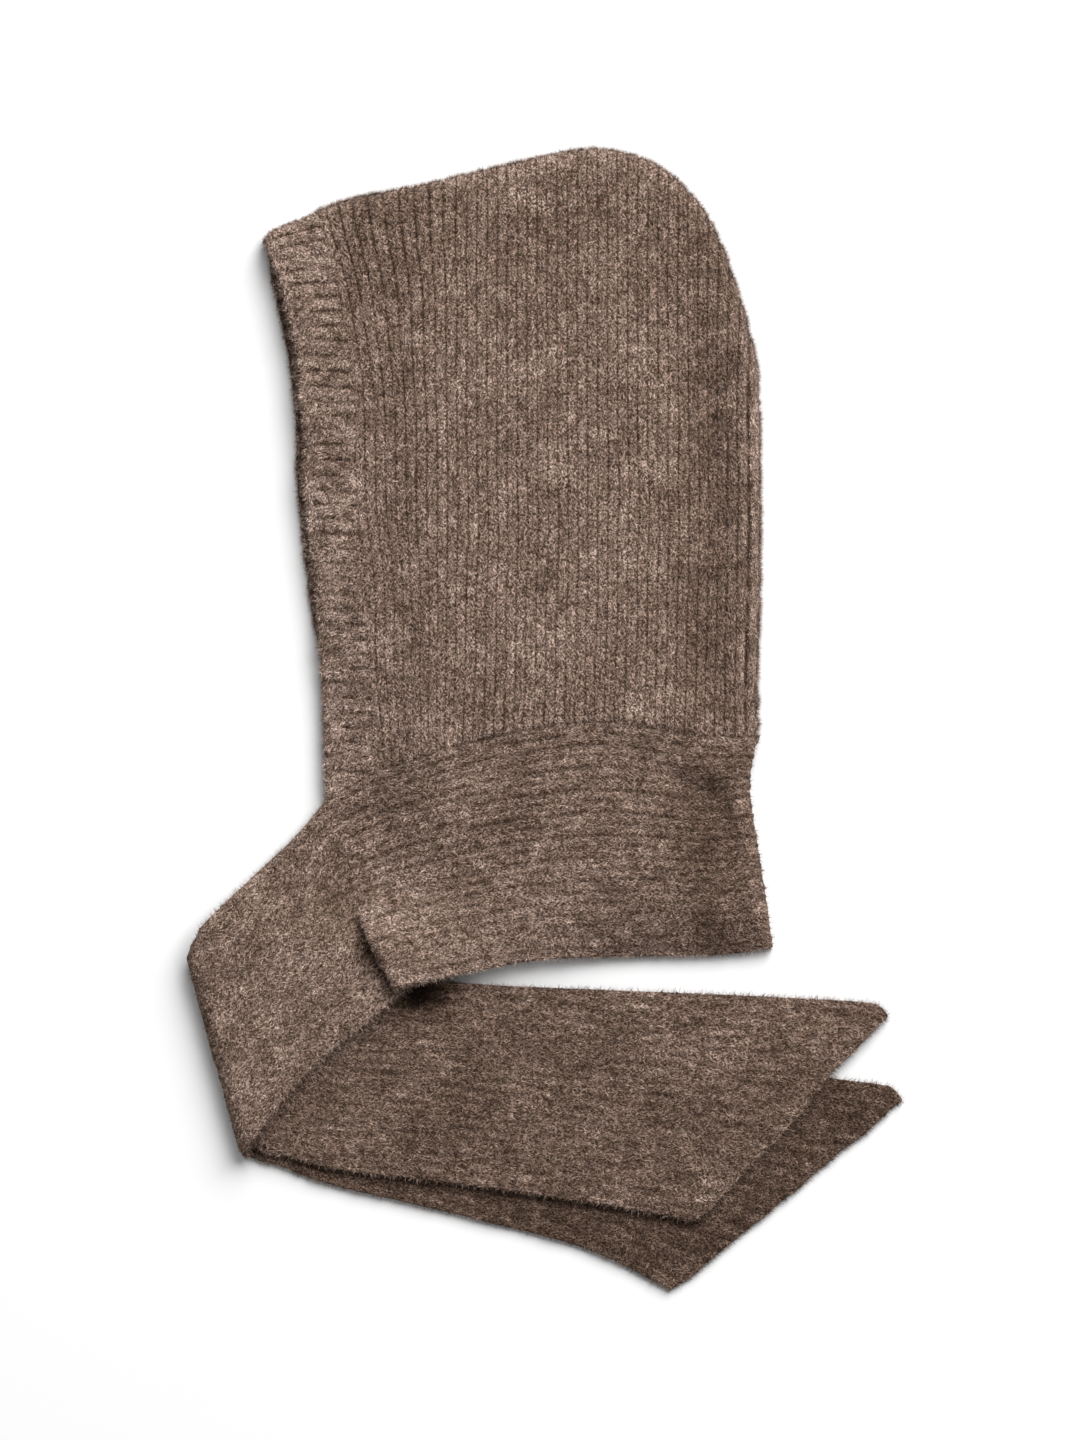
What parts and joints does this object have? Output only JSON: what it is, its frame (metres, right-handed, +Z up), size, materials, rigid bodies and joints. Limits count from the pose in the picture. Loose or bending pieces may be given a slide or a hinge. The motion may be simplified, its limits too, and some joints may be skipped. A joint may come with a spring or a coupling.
{
  "type": "snood hood",
  "caption": "Ribbed knit hood with a face band and a scarf sewn to its neck edge, lying flat on its side with both scarf ends folded under.",
  "frame": {"origin": "middle of the outline, on the surface that the hood lies on", "axes": "+Z up from that surface, +Y towards the crown, +X towards the centre back of the head"},
  "size_m": [0.3986, 0.64, 0.0281],
  "materials": {
    "hood_knit": "brushed heather wool in one by one rib, mid brown, matt and hairy",
    "band_knit": "the same wool in a coarser rib that runs across the band",
    "scarf_knit": "the same wool in rib along the neck band, felted smoother towards the ends"
  },
  "bodies": {
    "root": {"hood_upper_side": "hood_knit", "hood_lower_side": "hood_knit", "face_band": "band_knit", "scarf": "scarf_knit"}
  },
  "joints": []
}
